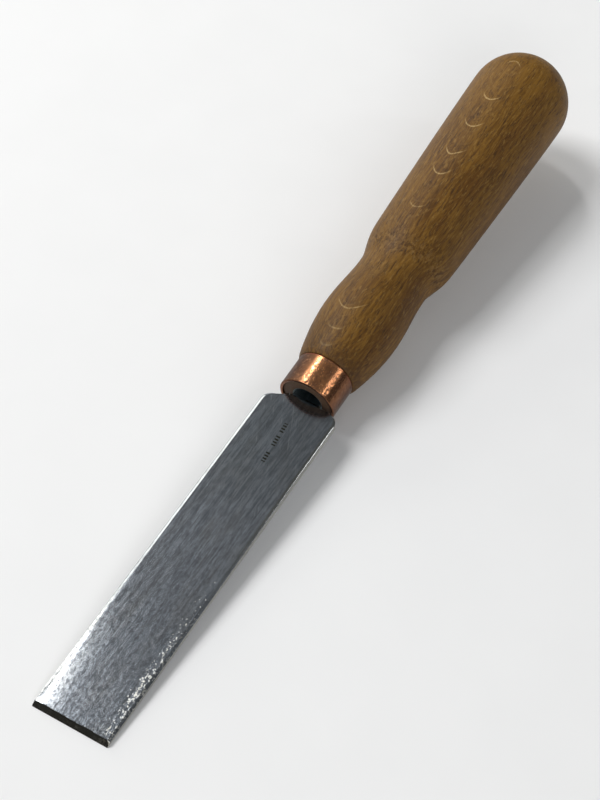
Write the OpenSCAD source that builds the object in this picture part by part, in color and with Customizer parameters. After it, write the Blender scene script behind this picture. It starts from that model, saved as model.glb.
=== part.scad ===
// Chisel with a flat steel blade and a turned wooden handle with a copper ferrule.
// The cutting edge lies along X with its middle at the origin, the blade points
// along +Y, and its flat back is the plane Z = 0. The tang and the handle behind
// it lean a little upwards, so that the handle clears the wood that is pared.

/* [Blade] */
// Width of the blade
blade_w = 24; // [18:1:30]
// Length from the cutting edge to the shoulders
blade_len = 120.5; // [90:0.5:150]
// Thickness where the cutting bevel starts
tip_t = 1.5; // [1:0.1:2]
// Thickness at the shoulders
shoulder_t = 3; // [2.6:0.1:3.6]
// Length of the cutting bevel
bevel_len = 1.5; // [1:0.1:6]
// Width of the narrow land along each long edge of the face
land_w = 0.85; // [0.4:0.05:2]
// Depth of that land at the edge
land_drop = 0.45; // [0.2:0.05:0.6]
// Radius of the shoulder corners
corner_r = 3.4; // [1:0.1:5]

/* [Tang] */
// Angle between the handle and the flat back of the blade
cant = 2.7; // [0:0.1:5]
// Width of the tang where it leaves the shoulders
tang_w = 9; // [6:0.1:9.2]
// Width of the tang at its end
tang_end_w = 3.6; // [3:0.1:5]
// Thickness of the tang
tang_t = 2.3; // [1.5:0.1:2.4]
// Length of the tang beyond the shoulders
tang_len = 72; // [50:1:90]

/* [Ferrule] */
// Gap between the shoulders and the ferrule, along the axis
ferrule_gap = 1; // [1:0.1:2]
// Outer diameter of the ferrule
ferrule_d = 18.7; // [18:0.1:20]
// Wall thickness of the ferrule
ferrule_wall = 1; // [0.8:0.1:1.5]
// Length of the ferrule
ferrule_len = 11.3; // [9:0.1:14]

/* [Handle] */
// Depth of the wood's end inside the mouth of the ferrule
end_recess = 0.5; // [0.2:0.1:1]
// Diameter of the bored mouth round the tang
mouth_d = 9.8; // [9.8:0.1:11]
// Depth of the bored mouth
mouth_depth = 14; // [5:1:20]
// Diameter of the wood where it meets the ferrule
neck_d = 19.2; // [19.2:0.1:21]
// Diameter of the front swelling
swell_d = 26.3; // [24:0.1:28]
// Distance from the ferrule to the widest point of the swelling
swell_pos = 21.5; // [18:0.5:25]
// Diameter of the waist
waist_d = 23.9; // [21:0.1:24]
// Distance from the ferrule to the middle of the waist
waist_pos = 40.8; // [38:0.2:45]
// Diameter where the barrel begins
barrel_d = 29.5; // [27:0.1:31]
// Distance from the ferrule to the start of the barrel
barrel_pos = 57.2; // [54:0.2:60]
// Diameter of the barrel at the rounded butt
butt_d = 34; // [31:0.1:36]
// Distance from the ferrule to the centre of the rounded butt
butt_pos = 126.4; // [110:0.2:140]

/* [Hidden] */
$fn = 96;
cut = 1;                                  // overshoot of every cutting solid
neck_pos = ferrule_gap + ferrule_len;     // back of the ferrule, from the shoulders
tang_root = 1;                            // length of the tang inside the blade
bore_r = ferrule_d / 2 - ferrule_wall;    // inside of the ferrule, outside of the tenon
face_slope = atan((shoulder_t - tip_t) / (blade_len - bevel_len));
profile_step = 2;                         // spacing of the points along the handle
butt_steps = 16;                          // steps of the quarter round at the butt

// Front of the handle: swells quickly behind the ferrule, then levels out.
function swell_r(y) =
    neck_d / 2 + (swell_d - neck_d) / 2 * pow(sin(90 * y / swell_pos), 0.82);

// From the swelling down to the waist, along half a cosine wave.
function waist_r(y) =
    (swell_d + waist_d) / 4
    + (swell_d - waist_d) / 4 * cos(180 * (y - swell_pos) / (waist_pos - swell_pos));

// The barrel widens towards the butt and runs level into the round.
function barrel_r(y) =
    butt_d / 2 - (butt_d - barrel_d) / 2 * pow((butt_pos - y) / (butt_pos - barrel_pos), 1.25);

// Fraction of the rise from the waist to the barrel.
function ease(u) = 1 - pow(1 - u * u * (3 - 2 * u), 2);
function rise_r(y) =
    waist_d / 2 + (barrel_r(y) - waist_d / 2) * ease((y - waist_pos) / (barrel_pos - waist_pos));

function handle_r(y) =
    y < swell_pos ? swell_r(y) :
    y < waist_pos ? waist_r(y) :
    y < barrel_pos ? rise_r(y) : barrel_r(y);

// Turns Y onto the axis of the handle, which starts in the middle of the shoulders.
module canted() {
    translate([0, blade_len, shoulder_t / 2]) rotate([cant, 0, 0]) children();
}

// Places a solid turned about Z on that axis, at a distance from the shoulders.
module on_axis(distance) {
    canted() translate([0, distance, 0]) rotate([-90, 0, 0]) children();
}

// Plan of the blade: square at the cutting edge, round at the shoulders.
module blade_plan() {
    translate([-blade_w / 2, 0])
        square([blade_w, blade_len - corner_r]);
    translate([corner_r - blade_w / 2, blade_len - corner_r - cut])
        square([blade_w - 2 * corner_r, corner_r + cut]);
    for (side = [-1, 1])
        translate([side * (blade_w / 2 - corner_r), blade_len - corner_r])
            circle(r = corner_r);
}

// The tang tapers in width and lies on the handle's axis. Its root is in the blade.
module tang() {
    canted()
        translate([0, 0, -tang_t / 2])
            linear_extrude(height = tang_t)
                polygon([
                    [-tang_w / 2, -tang_root],
                    [tang_w / 2, -tang_root],
                    [tang_w / 2, 0],
                    [tang_end_w / 2, tang_len],
                    [-tang_end_w / 2, tang_len],
                    [-tang_w / 2, 0]
                ]);
}

// Side view of the blade: flat back, tapering face, cutting bevel at the end.
module blade_side() {
    polygon([
        [0, 0],
        [blade_len + cut, 0],
        [blade_len + cut, shoulder_t],
        [blade_len, shoulder_t],
        [bevel_len, tip_t]
    ]);
}

// Wedge that cuts the land along one long edge of the face.
module land_cut(side) {
    translate([side * blade_w / 2, bevel_len, tip_t])
        rotate([face_slope, 0, 0])
            translate([0, blade_len + cut, 0])
                rotate([90, 0, 0])
                    linear_extrude(height = blade_len + bevel_len + 2 * cut)
                        polygon([
                            [-side * land_w, 0],
                            [0, -land_drop],
                            [side * cut, -land_drop],
                            [side * cut, cut],
                            [-side * land_w, cut]
                        ]);
}

module blade() {
    color([0.60, 0.62, 0.64]) {
        difference() {
            intersection() {
                linear_extrude(height = shoulder_t + cut) blade_plan();
                translate([-blade_w / 2 - cut, 0, 0])
                    rotate([90, 0, 90])
                        linear_extrude(height = blade_w + 2 * cut) blade_side();
            }
            for (side = [-1, 1]) land_cut(side);
        }
        tang();
    }
}

module ferrule() {
    color([0.72, 0.45, 0.30])
        on_axis(ferrule_gap)
            difference() {
                cylinder(h = ferrule_len, d = ferrule_d);
                translate([0, 0, -cut]) cylinder(h = ferrule_len + 2 * cut, r = bore_r);
            }
}

// Outline of the turned wood, from the tenon inside the ferrule to the round butt.
module handle_outline() {
    profile = [for (y = [0 : profile_step : butt_pos - 0.1]) [handle_r(y), y]];
    butt = [for (i = [0 : butt_steps])
        let (a = 90 * i / butt_steps)
        [i == butt_steps ? 0 : butt_d / 2 * cos(a), butt_pos + butt_d / 2 * sin(a)]];
    polygon(concat(
        [[0, end_recess - ferrule_len], [bore_r, end_recess - ferrule_len], [bore_r, 0]],
        profile,
        butt
    ));
}

module handle() {
    color([0.50, 0.35, 0.19])
        difference() {
            on_axis(neck_pos) rotate_extrude() handle_outline();
            on_axis(ferrule_gap - cut) cylinder(h = mouth_depth + cut, d = mouth_d);
            tang();
        }
}

blade();
ferrule();
handle();
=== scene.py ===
"""A flat chisel with a copper ferrule and a turned wooden handle, lying on a pale floor."""

import math

import bmesh
import bpy
from mathutils import Matrix, Vector, noise


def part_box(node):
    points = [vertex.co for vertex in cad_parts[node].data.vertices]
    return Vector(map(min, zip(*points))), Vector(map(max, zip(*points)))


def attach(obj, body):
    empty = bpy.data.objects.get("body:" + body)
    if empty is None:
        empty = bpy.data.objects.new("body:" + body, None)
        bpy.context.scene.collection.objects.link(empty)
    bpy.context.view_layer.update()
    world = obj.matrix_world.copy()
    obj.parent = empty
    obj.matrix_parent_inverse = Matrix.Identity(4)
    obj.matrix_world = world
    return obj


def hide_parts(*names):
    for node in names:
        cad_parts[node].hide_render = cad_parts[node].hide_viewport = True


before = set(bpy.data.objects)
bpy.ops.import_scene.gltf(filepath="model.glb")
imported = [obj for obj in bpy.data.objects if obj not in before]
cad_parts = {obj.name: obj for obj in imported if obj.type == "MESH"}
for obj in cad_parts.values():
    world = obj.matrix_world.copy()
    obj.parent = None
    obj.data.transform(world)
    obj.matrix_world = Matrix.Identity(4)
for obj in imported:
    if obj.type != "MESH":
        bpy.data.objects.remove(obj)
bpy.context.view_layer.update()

# ------------------------------------------------------------------ sizes
# Lengths in the meshes are in millimetres, and MM turns them into metres.
MM = 0.001

blade_low, blade_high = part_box("blade")
HALF_WIDTH = (blade_high.x - blade_low.x) / 2 / MM
BLADE_LENGTH = 120.5
TIP_THICKNESS = 1.5
SHOULDER_THICKNESS = 3.0
BEVEL_LENGTH = 1.35
LAND_WIDTH = 0.85
LAND_DROP = 0.45
CORNER_RADIUS = 3.4
CANT = math.radians(2.7)

TANG_WIDTH = 9.0
TANG_END_WIDTH = 3.6
TANG_THICKNESS = 2.3
TANG_LENGTH = 72.0
ROOT_FILLET = 1.0

FERRULE_START = 1.0
FERRULE_LENGTH = 11.3
FERRULE_RADIUS = 9.35
FERRULE_WALL = 1.0
END_RECESS = 0.5
NECK = FERRULE_START + FERRULE_LENGTH
TENON_RADIUS = FERRULE_RADIUS - FERRULE_WALL
MOUTH_RADIUS = 4.9
MOUTH_DEPTH = 14.0

NECK_RADIUS = 9.6
SWELL_RADIUS, SWELL_AT = 13.15, 21.5
WAIST_RADIUS, WAIST_AT = 11.95, 40.8
BARREL_RADIUS, BARREL_AT = 14.75, 57.2
BUTT_RADIUS, BUTT_AT = 17.0, 126.4

# The handle's own frame: its Y is the axis, counted from the middle of the shoulders.
HANDLE_ORIGIN = Vector((0, BLADE_LENGTH, SHOULDER_THICKNESS / 2))
HANDLE_FRAME = Matrix.Translation(HANDLE_ORIGIN) @ Matrix.Rotation(CANT, 4, "X")

# Edges that bend by more than this many degrees stay crisp.
BLADE_SHARP = 18
TURNED_SHARP = 40


# ------------------------------------------------------------------ helpers
def smooth(low, high, value):
    """0 below low, 1 above high, and an S-curve between."""
    t = min(max((value - low) / (high - low), 0.0), 1.0)
    return t * t * (3 - 2 * t)


def lerp(a, b, t):
    return a + (b - a) * t


def ripple(x, y, z, size):
    """Smooth noise from about -1 to 1, with features of that size."""
    return noise.noise(Vector((x, y, z)) / size)


def mesh_piece(name, points, faces, sharp):
    """A new object from points in millimetres. Edges bent by more than sharp degrees stay crisp."""
    mesh = bpy.data.meshes.new(name)
    mesh.from_pydata([Vector(p) * MM for p in points], [], faces)
    mesh.validate()
    shape = bmesh.new()
    shape.from_mesh(mesh)
    bmesh.ops.recalc_face_normals(shape, faces=shape.faces)
    shape.to_mesh(mesh)
    shape.free()
    mesh.shade_smooth()
    mesh.set_sharp_from_angle(angle=math.radians(sharp))
    piece = bpy.data.objects.new(name, mesh)
    bpy.context.scene.collection.objects.link(piece)
    return piece


def turned(name, outline, segments, shape):
    """Turns an outline of (radius, distance) points round Y.

    The outline starts and ends on the axis, or it closes on itself. shape gives the true
    radius of a point from its radius, distance and angle.
    """
    points = []
    rings = []
    for radius, along in outline:
        if radius == 0:
            points.append((0, along, 0))
            rings.append([len(points) - 1])
            continue
        ring = []
        for i in range(segments):
            angle = 2 * math.pi * i / segments
            r = shape(radius, along, angle)
            points.append((r * math.sin(angle), along, r * math.cos(angle)))
            ring.append(len(points) - 1)
        rings.append(ring)
    closed = len(rings[0]) > 1
    pairs = list(zip(rings, rings[1:] + rings[:1])) if closed else list(zip(rings, rings[1:]))
    faces = []
    for a, b in pairs:
        for i in range(segments):
            j = (i + 1) % segments
            if len(a) == 1:
                faces.append((a[0], b[j], b[i]))
            elif len(b) == 1:
                faces.append((a[i], a[j], b[0]))
            else:
                faces.append((a[i], a[j], b[j], b[i]))
    return mesh_piece(name, [HANDLE_FRAME @ Vector(p) for p in points], faces, TURNED_SHARP)


def arc(centre_r, centre_y, radius, start, end, steps):
    """Points of an arc in an outline. An angle of 0 points outwards and 90 along Y."""
    angles = [math.radians(lerp(start, end, i / steps)) for i in range(steps + 1)]
    return [(centre_r + radius * math.cos(a), centre_y + radius * math.sin(a)) for a in angles]


# ------------------------------------------------------------------ camera
CAMERA_AZIMUTH = math.radians(30.13)
CAMERA_ELEVATION = math.radians(55.06)
CAMERA_ROLL = math.radians(1.16)
CAMERA_DISTANCE = 0.502
CAMERA_TARGET = Vector((-0.00268, 0.12229, -0.00070))
CAMERA_LENS = 75.31
CAMERA_CLIP = (0.01, 50)

camera_data = bpy.data.cameras.new("camera")
camera_data.lens = CAMERA_LENS
camera_data.clip_start, camera_data.clip_end = CAMERA_CLIP
camera = bpy.data.objects.new("camera", camera_data)
bpy.context.scene.collection.objects.link(camera)
camera.matrix_world = (
    Matrix.Translation(CAMERA_TARGET)
    @ Matrix.Rotation(CAMERA_AZIMUTH, 4, "Z")
    @ Matrix.Rotation(math.pi / 2 - CAMERA_ELEVATION, 4, "X")
    @ Matrix.Rotation(CAMERA_ROLL, 4, "Z")
    @ Matrix.Translation((0, 0, CAMERA_DISTANCE))
)
bpy.context.scene.camera = camera


# ------------------------------------------------------------------ materials
def rgb(r, g, b):
    """A linear colour, as a colour socket takes it."""
    return (r, g, b, 1.0)


class Paint:
    """A material with one Principled shader, and short ways to add nodes to it.

    Its coordinates are in mm, in the part's frame or, with in_handle, in the handle's own.
    """

    def __init__(self, name, in_handle=False):
        self.material = bpy.data.materials.new(name)
        self.material.use_nodes = True
        self.tree = self.material.node_tree
        self.shader = self.tree.nodes["Principled BSDF"]
        where = self.node("TexCoord").outputs["Object"]
        self.where = self.node("Mapping", {"Vector": where, "Scale": (1 / MM,) * 3}).outputs[0]
        if in_handle:
            self.where = self.node("Mapping", {"Vector": self.where, "Location": HANDLE_ORIGIN,
                                               "Rotation": (CANT, 0, 0)}, vector_type="TEXTURE").outputs[0]

    def node(self, kind, values=(), **settings):
        """A new node. A value is a number, a vector or another node's socket."""
        made = self.tree.nodes.new("ShaderNode" + kind)
        for key, value in settings.items():
            setattr(made, key, value)
        for key, value in dict(values).items():
            self.feed(made.inputs[key], value)
        return made

    def feed(self, socket, value):
        if isinstance(value, bpy.types.NodeSocket):
            self.tree.links.new(value, socket)
        else:
            socket.default_value = value

    def math(self, operation, a, b=0.0, c=0.0):
        return self.node("Math", {0: a, 1: b, 2: c}, operation=operation).outputs[0]

    def times(self, a, b):
        return self.math("MULTIPLY", a, b)

    def plus(self, a, b):
        return self.math("ADD", a, b)

    def noise(self, size, detail=2.0, rough=0.5, shift=(0, 0, 0), turn=0.0):
        """Noise from 0 to 1 with features of that size in mm along X, Y and Z, turned about Z."""
        scale = [1 / length for length in size]
        where = self.where
        if turn:
            where = self.node("Mapping", {"Vector": where, "Rotation": (0, 0, turn)}).outputs[0]
        where = self.node("Mapping", {"Vector": where, "Scale": scale, "Location": shift}).outputs[0]
        return self.node("TexNoise", {"Vector": where, "Scale": 1.0, "Detail": detail,
                                      "Roughness": rough}).outputs["Fac"]

    def bend(self, amount, size):
        """Bends the coordinates sideways by up to about that many mm."""
        where = self.node("Mapping", {"Vector": self.where, "Scale": [1 / v for v in size]}).outputs[0]
        colour = self.node("TexNoise", {"Vector": where, "Scale": 1.0, "Detail": 1.0}).outputs["Color"]
        offset = self.node("VectorMath", {0: colour, 1: (0.5, 0.5, 0.5)}, operation="SUBTRACT").outputs[0]
        self.where = self.node("VectorMath", {0: offset, 1: (amount, 0, amount), 2: self.where},
                               operation="MULTIPLY_ADD").outputs[0]

    def band(self, value, low, high, start=0.0, end=1.0):
        """value from low to high becomes start to end, with soft ends."""
        return self.node("MapRange", {0: value, 1: low, 2: high, 3: start, 4: end},
                         interpolation_type="SMOOTHSTEP").outputs[0]

    def mix(self, amount, a, b):
        """Colour a turns into colour b as amount goes from 0 to 1."""
        made = self.node("Mix", data_type="RGBA", blend_type="MIX")
        for socket, value in (("Factor_Float", amount), ("A_Color", a), ("B_Color", b)):
            self.feed(next(s for s in made.inputs if s.identifier == socket), value)
        return next(s for s in made.outputs if s.identifier == "Result_Color")

    def split(self, vector):
        """The X, Y and Z of a vector."""
        made = self.node("SeparateXYZ", {0: vector})
        return made.outputs[0], made.outputs[1], made.outputs[2]

    def bump(self, height, distance, strength, before=None):
        """Relief of that distance in mm, added to the relief before."""
        values = {"Height": height, "Distance": distance * MM, "Strength": strength}
        if before is not None:
            values["Normal"] = before
        return self.node("Bump", values).outputs[0]

    def finish(self, **sockets):
        """Feeds the shader's sockets, whose names have _ for a space, and gives the material."""
        for key, value in sockets.items():
            self.feed(self.shader.inputs[key.replace("_", " ")], value)
        return self.material


# Three short rows of plain ticks stand for the stamp near the shoulders.
STAMP_ROWS = ((96.0, 99.8), (102.2, 106.2), (107.2, 110.8))
STAMP_X = 0.5
STAMP_LEAN = -0.062
STAMP_HALF_WIDTH = 0.70
STAMP_SOFT = 0.15
TICK_STEP = 1.05

STEEL_DARK = rgb(0.275, 0.295, 0.325)
STEEL_LIGHT = rgb(0.42, 0.455, 0.50)
STEEL_WARM = rgb(0.34, 0.33, 0.31)
STEEL_SHOULDER_SHADE = rgb(0.140, 0.152, 0.150)
STEEL_ETCHED = rgb(0.105, 0.118, 0.138)
STEEL_PAINTED_GLARE = rgb(0.80, 0.83, 0.85)
STEEL_SCRATCH = rgb(0.80, 0.84, 0.86)
STEEL_SPECK = rgb(0.74, 0.71, 0.60)
STEEL_STAMP = rgb(0.085, 0.085, 0.068)
BEVEL_PAINTED_SHADE = rgb(0.085, 0.078, 0.062)
SIDE_DARK = rgb(0.32, 0.31, 0.29)
SIDE_LIGHT = rgb(0.50, 0.49, 0.45)
LAND_PAINTED_SHADE = rgb(0.24, 0.24, 0.225)


def steel():
    """Brushed along the blade, with scratches, etched and speckled near the tip, with a painted highlight
    on the left corner of the tip and painted shade towards the shoulders, on the cutting bevel and on the
    right land.
    """
    p = Paint("steel")
    x, y, _ = p.split(p.where)
    nx, ny, nz = p.split(p.node("NewGeometry").outputs["Normal"])
    fine = p.noise((0.45, 7.0, 0.45), 3.0, 0.6)
    grit = p.noise((0.85, 3.2, 0.85), 3.0, 0.7)
    long_lines = p.noise((0.9, 30.0, 0.9), 2.0, 0.6)
    patches = p.noise((5.0, 14.0, 5.0), 3.0, 0.6)
    slanted = p.noise((0.45, 9.0, 0.45), 2.0, 0.6, shift=(4, 9, 2), turn=math.radians(-24))
    flakes = p.noise((0.66, 0.95, 0.66), 3.0, 0.75, shift=(7, 3, 5))
    mottle = p.noise((0.72, 1.25, 0.72), 3.0, 0.7, shift=(2, 6, 4))
    # Bright speckles gather at the right edge near the tip, and thin out over the blade.
    right = p.band(x, 6.6, 9.8)
    left = p.band(x, -8.5, -11.0, 0.0, 0.45)
    near_tip = p.band(y, 92.0, 18.0)
    wear = p.times(near_tip, p.math("MAXIMUM", right, left))
    wear = p.math("MAXIMUM", wear, p.band(y, 14.0, 0.0, 0.0, 0.50))
    level = p.math("MULTIPLY_ADD", wear, -0.25, 0.78)
    speck = p.band(p.math("SUBTRACT", flakes, level), 0.0, 0.09)
    speck = p.times(speck, p.band(patches, 0.32, 0.50, 0.45, 1.0))
    scratch = p.times(p.band(slanted, 0.60, 0.76), p.band(y, 45.0, 100.0, 0.03, 0.14))
    streaks = p.plus(p.times(fine, 0.40), p.plus(p.times(grit, 0.35), p.times(long_lines, 0.25)))
    colour = p.mix(p.band(streaks, 0.38, 0.62), STEEL_DARK, STEEL_LIGHT)
    colour = p.mix(p.band(patches, 0.40, 0.75, 0.0, 0.30), colour, STEEL_WARM)
    # The face is painted darker towards the shoulders, as painted shade, and is etched towards the tip.
    painted_shoulder_shade = p.times(p.band(y, 50.0, 112.0, 0.0, 0.42), p.band(nz, 0.93, 0.98))
    colour = p.mix(painted_shoulder_shade, colour, STEEL_SHOULDER_SHADE)
    etched = p.times(p.band(mottle, 0.44, 0.60), p.band(y, 80.0, 10.0, 0.06, 0.60))
    colour = p.mix(etched, colour, STEEL_ETCHED)
    # Painted highlight: the left corner of the tip is painted bright, standing in for the glare there.
    painted_glare = p.times(p.band(x, -3.5, -12.5), p.band(y, 48.0, 4.0))
    colour = p.mix(p.times(painted_glare, p.band(mottle, 0.62, 0.44, 0.20, 0.90)), colour, STEEL_PAINTED_GLARE)
    colour = p.mix(scratch, colour, STEEL_SCRATCH)
    colour = p.mix(p.times(speck, 0.55), colour, STEEL_SPECK)
    # The rows of ticks lie on a line that leans a little.
    rows = 0.0
    for start, end in STAMP_ROWS:
        middle, half = (start + end) / 2, (end - start) / 2
        inside = p.math("LESS_THAN", p.math("ABSOLUTE", p.math("SUBTRACT", y, middle)), half)
        rows = p.plus(rows, inside)
    tick = p.math("PINGPONG", y, TICK_STEP / 2)
    tick = p.band(tick, TICK_STEP * 0.20, TICK_STEP * 0.30)
    middle = p.math("MULTIPLY_ADD", p.math("SUBTRACT", y, STAMP_ROWS[0][0]), STAMP_LEAN, STAMP_X)
    across = p.math("ABSOLUTE", p.math("SUBTRACT", x, middle))
    tick = p.times(tick, p.band(across, STAMP_HALF_WIDTH, STAMP_HALF_WIDTH - STAMP_SOFT))
    stamp = p.times(p.times(rows, tick), p.band(grit, 0.30, 0.50, 0.80, 1.0))
    colour = p.mix(stamp, colour, STEEL_STAMP)
    # The cutting bevel and the right land are painted darker as painted shade, and the sides are ground
    # differently.
    bevel = p.band(ny, -0.25, -0.50)
    side = p.band(p.math("ABSOLUTE", nx), 0.75, 0.95)
    colour = p.mix(p.times(bevel, p.band(grit, 0.25, 0.75, 1.0, 0.92)), colour, BEVEL_PAINTED_SHADE)
    colour = p.mix(side, colour, p.mix(p.band(long_lines, 0.3, 0.7), SIDE_DARK, SIDE_LIGHT))
    # Painted shade: the right land is painted darker, more so towards the shoulders.
    land = p.times(p.band(nx, 0.25, 0.42), p.band(nx, 0.70, 0.55))
    colour = p.mix(p.times(land, p.band(y, 40.0, 95.0, 0.25, 0.90)), colour, LAND_PAINTED_SHADE)
    rough = p.math("MULTIPLY_ADD", streaks, 0.18, 0.07)
    rough = p.math("MULTIPLY_ADD", speck, 0.35, rough)
    rough = p.math("MULTIPLY_ADD", side, 0.35, rough)
    relief = p.bump(fine, 0.0015, 0.6)
    relief = p.bump(grit, 0.0014, 0.5, relief)
    relief = p.bump(speck, 0.005, 0.6, relief)
    relief = p.bump(p.times(mottle, p.band(y, 80.0, 8.0)), 0.006, 0.8, relief)
    return p.finish(Base_Color=colour, Metallic=1.0, Roughness=rough, Normal=relief)


COPPER_CLEAN = rgb(0.66, 0.30, 0.135)
COPPER_FILM = rgb(0.42, 0.19, 0.095)
COPPER_FLANK_SHADE = rgb(0.120, 0.052, 0.028)
COPPER_LEFT_SHADE = rgb(0.060, 0.028, 0.016)
COPPER_BLOTCH = rgb(0.27, 0.135, 0.070)
COPPER_PIT = rgb(0.09, 0.045, 0.03)
COPPER_JOINT = rgb(0.20, 0.055, 0.03)
COPPER_RIM = rgb(0.30, 0.13, 0.07)
# Painted shade: the copper is painted brightest where it faces this way, and darker the further it turns
# away.
COPPER_LIT_FACING = (0.14, 0, 0.99)


def copper():
    """Dull copper with pits, a brown film, painted shade that darkens it towards its sides and on its
    left, and a dark joint.
    """
    p = Paint("copper", in_handle=True)
    _, y, _ = p.split(p.where)
    film = p.noise((2.6, 3.4, 2.6), 4.0, 0.6)
    blotch = p.noise((0.9, 1.0, 0.9), 3.0, 0.65)
    pits = p.noise((0.42, 0.42, 0.42), 2.0, 0.5)
    marks = p.noise((3.0, 0.12, 3.0), 2.0, 0.5)
    worn = p.noise((1.6, 2.2, 1.6), 2.0, 0.5, shift=(3, 8, 1))
    pit = p.times(p.band(pits, 0.60, 0.68), p.band(worn, 0.45, 0.60, 0.1, 1.0))
    normal = p.node("NewGeometry").outputs["Normal"]
    lit_facing = p.node("VectorMath", {0: normal, 1: COPPER_LIT_FACING}, operation="DOT_PRODUCT").outputs["Value"]
    colour = p.mix(p.band(film, 0.36, 0.66), COPPER_CLEAN, COPPER_FILM)
    # Painted shade: the flanks of the ferrule are painted dark, the more the further they turn from this
    # direction.
    colour = p.mix(p.band(lit_facing, 0.97, 0.74, 0.0, 0.86), colour, COPPER_FLANK_SHADE)
    # Painted shade: the left side of the ferrule is painted darker.
    left_shade = p.band(p.split(normal)[0], -0.14, -0.34)
    colour = p.mix(p.times(left_shade, 0.85), colour, COPPER_LEFT_SHADE)
    colour = p.mix(p.band(blotch, 0.50, 0.72, 0.0, 0.60), colour, COPPER_BLOTCH)
    colour = p.mix(pit, colour, COPPER_PIT)
    joint = p.band(y, NECK - 0.75, NECK - 0.25)
    colour = p.mix(p.times(joint, 0.65), colour, COPPER_JOINT)
    rim = p.band(y, FERRULE_START + 0.16, FERRULE_START + 0.05)
    colour = p.mix(p.times(rim, 0.5), colour, COPPER_RIM)
    rough = p.math("MULTIPLY_ADD", film, 0.20, 0.13)
    rough = p.math("MULTIPLY_ADD", left_shade, 0.25, rough)
    relief = p.bump(blotch, 0.05, 0.5)
    relief = p.bump(pit, -0.07, 0.8, relief)
    relief = p.bump(marks, 0.006, 0.4, relief)
    return p.finish(Base_Color=colour, Metallic=1.0, Roughness=rough, Normal=relief)


# Growth layers of the wood lean away from the axis, so the turned surface cuts them in curves.
RING_SPACING = 1.05
RING_LEAN = 0.125
RING_FACING = math.radians(-12)
# Pale curves: distance behind the ferrule (mm), bend (1/mm), half their width (mm), strength.
PALE_CURVES = (
    (2.9, 0.20, 2.6, 0.35),
    (8.9, 0.16, 3.0, 0.45),
    (16.7, 0.15, 6.0, 0.55),
    (59.7, 0.26, 3.4, 0.45),
    (74.6, 0.27, 3.9, 0.75),
    (83.9, 0.24, 4.2, 0.80),
    (96.8, 0.22, 4.0, 0.85),
    (109.5, 0.25, 3.6, 0.90),
    (128.8, -0.30, 3.2, 0.60),
)

CURVE_WOBBLE = 1.6
CURVE_OUTER, CURVE_INNER = 0.42, 0.12
HALO_OFFSET = 2.4

WOOD_DARK = rgb(0.085, 0.036, 0.006)
WOOD_LIGHT = rgb(0.192, 0.093, 0.015)
WOOD_CLOUD = rgb(0.176, 0.086, 0.013)
WOOD_BUTT = rgb(0.230, 0.114, 0.016)
WOOD_RED = rgb(0.085, 0.033, 0.006)
WOOD_DASH = rgb(0.044, 0.018, 0.004)
WOOD_FLECK = rgb(0.30, 0.172, 0.045)
WOOD_PORE = rgb(0.034, 0.016, 0.005)
WOOD_LAYER = rgb(0.32, 0.20, 0.070)
WOOD_HALO = rgb(0.050, 0.022, 0.007)
WOOD_PALE = rgb(0.46, 0.31, 0.125)
END_LIGHT = rgb(0.27, 0.160, 0.060)
END_DARK = rgb(0.034, 0.016, 0.006)
NECK_DARK_AND_SHADE = rgb(0.060, 0.030, 0.012)
TENON_END = rgb(0.100, 0.060, 0.038)
MOUTH_PAINTED_LIGHT = rgb(0.28, 0.33, 0.33)


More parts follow.
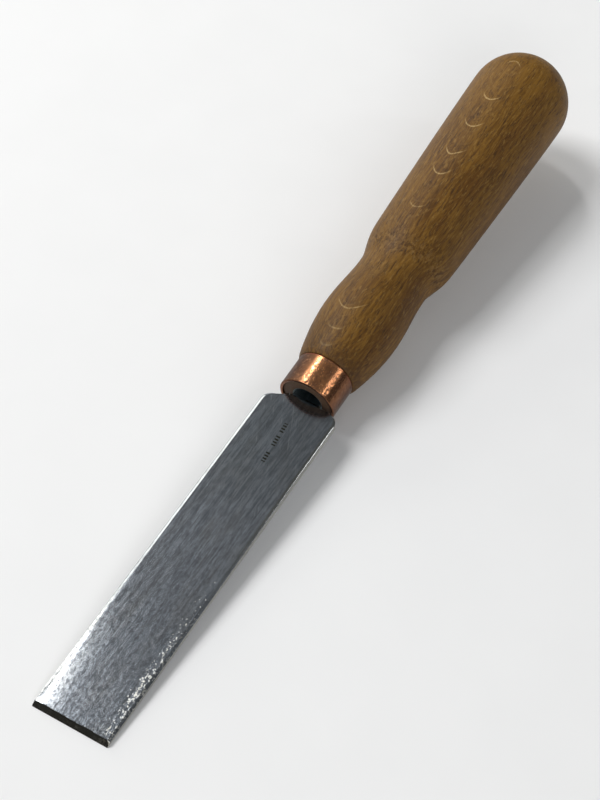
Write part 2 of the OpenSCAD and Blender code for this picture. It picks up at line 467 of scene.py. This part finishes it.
def wood():
    """Oiled open-pored hardwood: leaning growth layers, pores and wavy fibres along the axis."""
    p = Paint("wood", in_handle=True)
    x, y, z = p.split(p.where)
    y = p.math("SUBTRACT", y, NECK)
    normal = p.node("NewGeometry").outputs["Normal"]
    axis = (0, math.cos(CANT), math.sin(CANT))
    along = p.node("VectorMath", {0: normal, 1: axis}, operation="DOT_PRODUCT").outputs["Value"]
    end_grain = p.math("ABSOLUTE", along)
    # Coordinates across (s) and up through (t) the layers.
    cos, sin = math.cos(RING_FACING), math.sin(RING_FACING)
    s = p.plus(p.times(x, cos), p.times(z, -sin))
    t = p.plus(p.times(x, sin), p.times(z, cos))
    p.bend(2.0, (5.0, 16.0, 5.0))
    wobble = p.noise((5.0, 10.0, 5.0), 1.5, 0.4)
    # Pale curves, where the surface runs along one layer, each with a dark mottle inside it.
    pale = 0.0
    halo = 0.0
    for at, bend, half, strength in PALE_CURVES:
        gap = p.math("MULTIPLY_ADD", p.times(s, s), -bend, p.math("SUBTRACT", y, at))
        gap = p.math("MULTIPLY_ADD", wobble, CURVE_WOBBLE, p.math("SUBTRACT", gap, CURVE_WOBBLE / 2))
        reach = p.math("ABSOLUTE", s)
        ends = p.band(reach, half, half * 0.45)
        line = p.band(p.math("ABSOLUTE", gap), CURVE_OUTER, CURVE_INNER)
        pale = p.math("MAXIMUM", pale, p.times(p.times(line, ends), strength))
        beside = p.math("SUBTRACT", gap, math.copysign(HALO_OFFSET, bend))
        inner = p.band(p.math("ABSOLUTE", beside), 2.6, 0.6)
        halo = p.math("MAXIMUM", halo, p.times(p.times(inner, p.band(reach, half, half * 0.3)), strength))
    upper = p.band(t, 2.0, 6.0)
    pale = p.times(pale, upper)
    halo = p.times(halo, upper)
    # Faint layers everywhere.
    depth = p.math("MULTIPLY_ADD", y, RING_LEAN, t)
    depth = p.math("MULTIPLY_ADD", wobble, 0.9, depth)
    layer = p.math("PINGPONG", depth, RING_SPACING / 2)
    layer_line = p.band(layer, 0.10, 0.0)
    # Pores, fibres and bands of colour.
    pores = p.noise((0.50, 3.4, 0.50), 3.0, 0.6)
    dashes = p.noise((0.66, 7.0, 0.66), 3.0, 0.65, shift=(2, 5, 9))
    fibres = p.noise((0.80, 17.0, 0.80), 4.0, 0.65)
    flecks = p.noise((0.56, 3.2, 0.56), 3.0, 0.65, shift=(31, 17, 5))
    bands = p.noise((5.5, 70.0, 5.5), 3.0, 0.55, shift=(3, 1, 8))
    clouds = p.noise((13.0, 30.0, 13.0), 2.0, 0.5)
    speckle = p.noise((1.1, 1.4, 1.1), 3.0, 0.65, shift=(1, 2, 3))
    colour = p.mix(p.band(fibres, 0.36, 0.64), WOOD_DARK, WOOD_LIGHT)
    colour = p.mix(p.band(clouds, 0.35, 0.68, 0.0, 0.30), colour, WOOD_CLOUD)
    colour = p.mix(p.band(y, 96.0, 130.0, 0.0, 0.40), colour, WOOD_BUTT)
    reddish = p.times(p.band(bands, 0.44, 0.66), p.band(s, -5.0, 6.0, 0.10, 0.55))
    colour = p.mix(reddish, colour, WOOD_RED)
    colour = p.mix(p.times(p.band(dashes, 0.52, 0.66), 0.45), colour, WOOD_DASH)
    colour = p.mix(p.times(p.band(flecks, 0.54, 0.68), 0.46), colour, WOOD_FLECK)
    pore = p.band(pores, 0.56, 0.66)
    colour = p.mix(p.times(pore, 0.55), colour, WOOD_PORE)
    colour = p.mix(p.times(layer_line, 0.10), colour, WOOD_LAYER)
    mottle = p.times(halo, p.band(speckle, 0.48, 0.60))
    colour = p.mix(p.times(mottle, 0.65), colour, WOOD_HALO)
    colour = p.mix(p.times(pale, p.band(flecks, 0.36, 0.56, 0.35, 1.0)), colour, WOOD_PALE)
    # Cut fibre ends are mottled where the barrel begins.
    shoulder = p.times(p.band(end_grain, 0.16, 0.42), p.band(y, 72.0, 62.0))
    shoulder = p.times(shoulder, p.band(y, 36.0, 42.0))
    colour = p.mix(p.times(shoulder, p.band(speckle, 0.48, 0.60, 0.0, 0.60)), colour, END_LIGHT)
    colour = p.mix(p.times(shoulder, p.band(speckle, 0.52, 0.38, 0.10, 0.90)), colour, END_DARK)
    # The neck is darker next to the ferrule, and its left side is darkened further by painted shade.
    neck_left_shade = p.times(p.band(y, 22.0, 2.0), p.band(x, 1.0, -7.0, 0.0, 0.6))
    neck_darkening = p.math("MAXIMUM", p.band(y, 8.0, 0.0, 0.0, 0.5), neck_left_shade)
    neck_dark_and_shade = p.times(neck_darkening, p.band(fibres, 0.70, 0.40, 0.5, 1.0))
    colour = p.mix(neck_dark_and_shade, colour, NECK_DARK_AND_SHADE)
    # The end inside the ferrule, and the bored mouth, whose wall is painted a pale teal-grey as painted
    # light inside the shaded hole.
    inside = p.band(y, -NECK + 4.0, -NECK + 3.0)
    colour = p.mix(p.times(inside, 0.80), colour, TENON_END)
    radius = p.math("SQRT", p.plus(p.times(x, x), p.times(z, z)))
    hole = p.times(p.band(radius, MOUTH_RADIUS + 0.25, MOUTH_RADIUS + 0.02), p.band(y, 0.0, -1.0))
    colour = p.mix(p.times(hole, p.band(y, -NECK, -NECK + 3.0)), colour, MOUTH_PAINTED_LIGHT)
    colour = p.mix(p.times(hole, 0.85), colour, MOUTH_PAINTED_LIGHT)
    rough = p.math("MULTIPLY_ADD", fibres, 0.20, 0.42)
    relief = p.bump(dashes, 0.04, 0.6)
    relief = p.bump(pore, -0.06, 0.7, relief)
    relief = p.bump(flecks, 0.02, 0.5, relief)
    return p.finish(Base_Color=colour, Roughness=rough, Normal=relief, Specular_IOR_Level=0.18)


FLOOR_DARK = rgb(0.85, 0.85, 0.85)
FLOOR_LIGHT = rgb(0.88, 0.88, 0.88)


def floor_paint():
    """Plain matt white with very faint clouds."""
    p = Paint("floor")
    grain = p.noise((25.0, 25.0, 25.0))
    colour = p.mix(grain, FLOOR_DARK, FLOOR_LIGHT)
    return p.finish(Base_Color=colour, Roughness=0.9, Specular_IOR_Level=0.2)


# ------------------------------------------------------------------ blade
EDGE_SKEW = 0.6        # the cutting edge has been honed a little out of square
SKEW_LENGTH = 14       # and that fades away over this length
TIP_ROUND = 0.25       # radius of the worn corners of the cutting edge
SHOULDER_GRIND = 2.0   # the left shoulder has been ground down to a slope
GRIND_START = -4.2     # which begins at this X
GRIND_SLOPE = 0.45
GRIND_FROM, GRIND_TO = 104, 117
SHOULDER_GAP = 0.03    # keeps the last row of the blade in front of the first row of the tang
ARRIS = 0.05           # size of the tiny chamfer along every long edge
ARRIS_WIDTH = 0.12
WEAR_LENGTH = 16.0     # the worn left land fades away over this length
WEAR_WIDTH = 1.1
WEAR_DEPTH, WEAR_REACH = 0.16, 1.6
EDGE_THICKNESS = 0.03  # what is left of the thickness at the cutting edge
RIDGE_DEPTH, RIDGE_REACH = 0.07, 0.25  # rounding of the ridge between the face and the bevel
# Unevenness of the cutting bevel along X: depth, place in the noise, size.
BEVEL_WAVES = ((0.20, 3.0, 2.3), (0.10, 9.0, 0.7))

# Distances from the side at which a cross-section has its points.
LAND_COLUMNS = [0.0, 0.04, 0.10, 0.25, 0.45, 0.65, 0.85, 1.05, 1.30, 1.65, 2.0]
INNER_COLUMNS = 56
# Distances of the first cross-sections from the cutting edge, and the step after them.
TIP_ROWS = [0, 0.06, 0.15, 0.3, 0.5, 0.75, 1.0, 1.2, 1.35, 1.5, 1.65, 1.85, 2.2, 2.8, 3.6, 4.6]
FIRST_PLAIN_ROW = 6.0
PLAIN_STEP = 1.25
CORNER_STEPS, FILLET_STEPS, TANG_STEPS = 10, 8, 12
# Below this half width, the points at the sides move closer together.
NARROW_HALF = 6.0


def half_width(y):
    """Half the width of the blade in front of its shoulders, with worn corners at the tip."""
    if y < TIP_ROUND:
        return HALF_WIDTH - TIP_ROUND + math.sqrt(max(0.0, TIP_ROUND**2 - (TIP_ROUND - y) ** 2))
    return HALF_WIDTH


def face_height(x, y, edge):
    """Height of the face over the back, at a distance edge from the nearest long side."""
    slope = (SHOULDER_THICKNESS - TIP_THICKNESS) / (BLADE_LENGTH - BEVEL_LENGTH)
    face = TIP_THICKNESS + slope * (y - BEVEL_LENGTH)
    worn = sum(depth * ripple(x, 0, at, size) for depth, at, size in BEVEL_WAVES)
    bevel = TIP_THICKNESS * (y + worn * smooth(0.3, 1.2, y)) / BEVEL_LENGTH
    height = min(face, bevel)
    near = abs(face - bevel)
    height -= RIDGE_DEPTH * max(0.0, 1 - near / RIDGE_REACH) ** 2
    # The land along each side, worn wider and rounder on the left towards the tip.
    width = LAND_WIDTH
    wear = math.exp(-y / WEAR_LENGTH)
    if x < 0:
        width = LAND_WIDTH + WEAR_WIDTH * wear
        height -= WEAR_DEPTH * wear * math.exp(-edge / WEAR_REACH) * min(1.0, height)
    share = 1 - edge / width
    if share > 0:
        height -= LAND_DROP * share * min(1.0, height / TIP_THICKNESS)
    return max(height, EDGE_THICKNESS)


def blade_rows():
    """(y, half width, part) for every cross-section from the cutting edge to the end of the tang."""
    rows = []
    for y in TIP_ROWS:
        rows.append((y, half_width(y), "blade"))
    y = FIRST_PLAIN_ROW
    while y < BLADE_LENGTH - CORNER_RADIUS:
        rows.append((y, half_width(y), "blade"))
        y += PLAIN_STEP
    for i in range(CORNER_STEPS + 1):
        a = math.radians(90 * i / CORNER_STEPS)
        y = BLADE_LENGTH - CORNER_RADIUS * (1 - math.sin(a)) - SHOULDER_GAP
        rows.append((y, HALF_WIDTH - CORNER_RADIUS * (1 - math.cos(a)), "blade"))
    root = TANG_WIDTH / 2
    for i in range(FILLET_STEPS + 1):
        a = math.radians(90 * i / FILLET_STEPS)
        y = BLADE_LENGTH + ROOT_FILLET * (1 - math.cos(a))
        rows.append((y, root + ROOT_FILLET * (1 - math.sin(a)), "tang"))
    for i in range(1, TANG_STEPS + 1):
        t = i / TANG_STEPS
        y = lerp(BLADE_LENGTH + ROOT_FILLET, BLADE_LENGTH + TANG_LENGTH, t)
        rows.append((y, lerp(root, TANG_END_WIDTH / 2, t), "tang"))
    return rows


def blade_columns(half):
    """(x, distance from the nearest side) across a section: close together at the sides."""
    scale = min(1.0, half / NARROW_HALF)
    side = [d * scale for d in LAND_COLUMNS]
    inner = half - side[-1]
    middle = [inner * (2 * i / INNER_COLUMNS - 1) for i in range(1, INNER_COLUMNS)]
    xs = [d - half for d in side] + middle + [half - d for d in reversed(side)]
    return [(x, half - abs(x)) for x in xs]


def make_blade():
    """One closed skin: upper and lower points across each section, joined along the blade."""
    points = []
    sections = []
    middle = SHOULDER_THICKNESS / 2
    for y, half, part in blade_rows():
        top = []
        bottom = []
        for x, edge in blade_columns(half):
            arris = ARRIS * max(0.0, 1 - edge / ARRIS_WIDTH)
            if part == "blade":
                skew = EDGE_SKEW * (x / HALF_WIDTH + 1) / 2 * (1 - smooth(0, SKEW_LENGTH, y))
                ground = min(SHOULDER_GRIND, GRIND_SLOPE * max(0.0, GRIND_START - x))
                place_y = y + skew - ground * smooth(GRIND_FROM, GRIND_TO, y)
                high = face_height(x, y, edge) - arris
                low = min(arris, high / 3)
            else:
                blend = smooth(BLADE_LENGTH, BLADE_LENGTH + ROOT_FILLET, y)
                thick = lerp(SHOULDER_THICKNESS, TANG_THICKNESS, blend)
                place_y, high, low = y, middle + thick / 2 - arris, middle - thick / 2 + arris
            along = place_y - BLADE_LENGTH
            for store, height in ((top, high), (bottom, low)):
                if along > 0:
                    up = height - middle
                    turned_y = along * math.cos(CANT) - up * math.sin(CANT)
                    turned_z = along * math.sin(CANT) + up * math.cos(CANT)
                    points.append((x, BLADE_LENGTH + turned_y, middle + turned_z))
                else:
                    points.append((x, place_y, height))
                store.append(len(points) - 1)
        sections.append((top, bottom))
    faces = []
    last = len(sections[0][0]) - 1
    for (top_a, low_a), (top_b, low_b) in zip(sections, sections[1:]):
        for i in range(last):
            faces.append((top_a[i], top_a[i + 1], top_b[i + 1], top_b[i]))
            faces.append((low_a[i + 1], low_a[i], low_b[i], low_b[i + 1]))
        faces.append((low_a[0], top_a[0], top_b[0], low_b[0]))
        faces.append((top_a[last], low_a[last], low_b[last], top_b[last]))
    for (top, low), order in ((sections[0], 1), (sections[-1], -1)):
        for i in range(last):
            faces.append((low[i], low[i + 1], top[i + 1], top[i])[::order])
    return mesh_piece("chisel_blade", points, faces, BLADE_SHARP)


# ------------------------------------------------------------------ ferrule
RIM = 0.30  # rounding of its outer edges
FERRULE_SEGMENTS = 256
FERRULE_STEPS = 44
DENT_DEPTH, DENT_SIZE = 0.10, 1.1
WAVE_DEPTH, WAVE_SIZE = 0.03, 3.5


def ferrule_shape(radius, along, angle):
    """Dents and a slightly uneven outside, deepest near the front."""
    if radius < FERRULE_RADIUS - 0.5:
        return radius
    front = 1 - smooth(FERRULE_START + 2.0, FERRULE_START + 8.0, along)
    x, z = radius * math.sin(angle), radius * math.cos(angle)
    lumps = max(0.0, ripple(x, along, z, DENT_SIZE) - 0.05) * DENT_DEPTH * (0.25 + 0.75 * front)
    waves = WAVE_DEPTH * (1 + ripple(x, along * 0.6, z + 40, WAVE_SIZE))
    return radius - lumps - waves


def make_ferrule():
    start, end = FERRULE_START, FERRULE_START + FERRULE_LENGTH
    outer, inner = FERRULE_RADIUS, TENON_RADIUS
    steps = FERRULE_STEPS
    outline = arc(inner + RIM, start + RIM, RIM, 180, 270, 4)
    outline += arc(outer - RIM, start + RIM, RIM, 270, 360, 5)
    outline += [(outer, lerp(start + RIM, end - RIM, i / steps)) for i in range(1, steps)]
    outline += arc(outer - RIM, end - RIM, RIM, 0, 90, 5)
    outline += arc(inner + RIM / 2, end - RIM / 2, RIM / 2, 90, 180, 3)
    outline += [(inner, lerp(end - RIM, start + 2 * RIM, i / 6)) for i in range(1, 6)]
    return turned("copper_ferrule", outline, FERRULE_SEGMENTS, ferrule_shape)


# ------------------------------------------------------------------ handle
HANDLE_SEGMENTS = 160
HANDLE_STEPS = 220
MOUTH_EASE = 0.3   # rounding round the bored mouth
TENON_EASE = 0.25  # and at the front of the tenon
TENON_GAP = 0.02   # keeps the tenon clear of the inside of the ferrule
NECK_EASE = 0.35   # rounding where the wood meets the ferrule
BUTT_SKIN = 0.03   # keeps the butt inside its CAD solid
WARP_DEPTH, WARP_SIZE = 0.06, 14
RIPPLE_DEPTH, RIPPLE_SIZE = 0.015, 2.5


def barrel_radius(y):
    """Radius of the barrel, which widens towards the butt and runs level into its round."""
    share = (BUTT_AT - y) / (BUTT_AT - BARREL_AT)
    return BUTT_RADIUS - (BUTT_RADIUS - BARREL_RADIUS) * share**1.25


def handle_radius(y):
    """Radius of the turned wood at a distance y behind the ferrule."""
    if y < SWELL_AT:
        return NECK_RADIUS + (SWELL_RADIUS - NECK_RADIUS) * math.sin(math.pi / 2 * y / SWELL_AT) ** 0.82
    if y < WAIST_AT:
        phase = math.pi * (y - SWELL_AT) / (WAIST_AT - SWELL_AT)
        return (SWELL_RADIUS + WAIST_RADIUS) / 2 + (SWELL_RADIUS - WAIST_RADIUS) / 2 * math.cos(phase)
    if y < BARREL_AT:
        rise = 1 - (1 - smooth(WAIST_AT, BARREL_AT, y)) ** 2
        return lerp(WAIST_RADIUS, barrel_radius(y), rise)
    return barrel_radius(y)


def handle_shape(radius, along, angle):
    """The wood has moved a little since it was turned, so it is not quite round."""
    if along < NECK + 0.6:
        return radius
    x, z = radius * math.sin(angle), radius * math.cos(angle)
    fade = smooth(NECK + 0.6, NECK + 8, along)
    warp = WARP_DEPTH * (1 + ripple(x, along * 0.3, z, WARP_SIZE))
    marks = RIPPLE_DEPTH * (1 + ripple(x, along, z, RIPPLE_SIZE))
    return radius - fade * warp - fade * marks


def make_handle():
    """Up the bored mouth, across the end of the tenon, along the outside and round the butt."""
    front = FERRULE_START + END_RECESS
    depth = front + MOUTH_DEPTH
    tenon = TENON_RADIUS - TENON_GAP
    outline = [(0, depth), (MOUTH_RADIUS, depth)]
    outline += [(MOUTH_RADIUS, lerp(depth, front + MOUTH_EASE, i / 8)) for i in range(1, 9)]
    outline += [(MOUTH_RADIUS + 0.08, front + 0.08), (MOUTH_RADIUS + MOUTH_EASE, front)]
    end = TENON_RADIUS - TENON_EASE
    outline += [(lerp(MOUTH_RADIUS + MOUTH_EASE, end, i / 5), front) for i in range(1, 6)]
    outline += [(tenon, front + 0.2), (tenon, NECK), (NECK_RADIUS - NECK_EASE, NECK)]
    outline += [(NECK_RADIUS - 0.10, NECK + 0.12), (NECK_RADIUS, NECK + 0.3)]
    for i in range(1, HANDLE_STEPS):
        y = 0.5 + (BUTT_AT - 0.5) * i / HANDLE_STEPS
        outline.append((handle_radius(y), NECK + y))
    outline += arc(0, NECK + BUTT_AT, BUTT_RADIUS - BUTT_SKIN, 0, 88.5, 40)
    outline.append((0, NECK + BUTT_AT + BUTT_RADIUS - BUTT_SKIN))
    return turned("turned_handle", outline, HANDLE_SEGMENTS, handle_shape)


# ------------------------------------------------------------------ build
def place(piece, node, material):
    """The piece takes the place of its CAD node, with the finish it is given."""
    piece.data.materials.append(material)
    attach(piece, "root")
    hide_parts(node)


blade = make_blade()
ferrule = make_ferrule()
handle = make_handle()
place(blade, "blade", steel())
place(ferrule, "ferrule", copper())
place(handle, "handle", wood())


# ------------------------------------------------------------------ floor and light
# These are in metres.
FLOOR_HALF = 3.0
FLOOR_GAP = 0.00005
LIGHT_AIM = Vector((0, 0.13, 0))
SLOPE_STEPS = 300
WORLD_COLOUR = rgb(0.95, 0.98, 1.0)
WORLD_STRENGTH = 0.20
# Name, direction from the tool, distance, width, height, power in watts, colour.
LIGHTS = (
    ("key_left", (-0.60, 0.02, 0.80), 1.6, 0.7, 0.8, 16.5, (1, 1, 1)),
    ("window_left", (-0.86, 0.43, 0.30), 1.6, 0.9, 0.8, 6, (1.0, 0.97, 0.88)),
    ("copper_streak", (-0.50, 0.49, 0.715), 1.8, 0.12, 0.3, 4.2, (1, 1, 1)),
    ("copper_line", (0.72, 0.47, 0.51), 1.8, 0.08, 0.4, 1.4, (1, 1, 1)),
    ("front_soft", (0.55, -0.75, 0.60), 1.8, 1.2, 0.8, 10, (1, 1, 1)),
)


def resting_slope():
    """Slope of the floor that touches the cutting edge and the front swelling of the handle."""
    slopes = []
    for i in range(SLOPE_STEPS):
        y = BUTT_AT * i / SLOPE_STEPS
        low = HANDLE_FRAME @ Vector((0, NECK + y, -handle_radius(y)))
        slopes.append(math.atan2(low.z, low.y))
    return min(slopes)


def make_floor():
    """A wide flat floor under the tool, which tilts as the tool lies."""
    half = FLOOR_HALF
    corners = [(-half, -half, 0), (half, -half, 0), (half, half, 0), (-half, half, 0)]
    mesh = bpy.data.meshes.new("floor")
    mesh.from_pydata(corners, [], [(0, 1, 2, 3)])
    mesh.materials.append(floor_paint())
    floor = bpy.data.objects.new("floor", mesh)
    bpy.context.scene.collection.objects.link(floor)
    floor.matrix_world = Matrix.Translation((0, 0, -FLOOR_GAP)) @ Matrix.Rotation(resting_slope(), 4, "X")


def area_light(name, direction, distance, width, height, power, colour):
    """A soft rectangular light in that direction from the middle of the tool, facing it."""
    data = bpy.data.lights.new(name, "AREA")
    data.shape = "RECTANGLE"
    data.size = width
    data.size_y = height
    data.energy = power
    data.color = colour
    light = bpy.data.objects.new(name, data)
    away = Vector(direction).normalized()
    light.location = LIGHT_AIM + away * distance
    light.rotation_euler = away.to_track_quat("Z", "Y").to_euler()
    bpy.context.scene.collection.objects.link(light)


def make_world():
    world = bpy.data.worlds.new("studio")
    world.use_nodes = True
    bpy.context.scene.world = world
    background = world.node_tree.nodes["Background"]
    background.inputs["Color"].default_value = WORLD_COLOUR
    background.inputs["Strength"].default_value = WORLD_STRENGTH


bpy.context.scene.view_settings.view_transform = "Standard"
make_floor()
make_world()
for light_values in LIGHTS:
    area_light(*light_values)
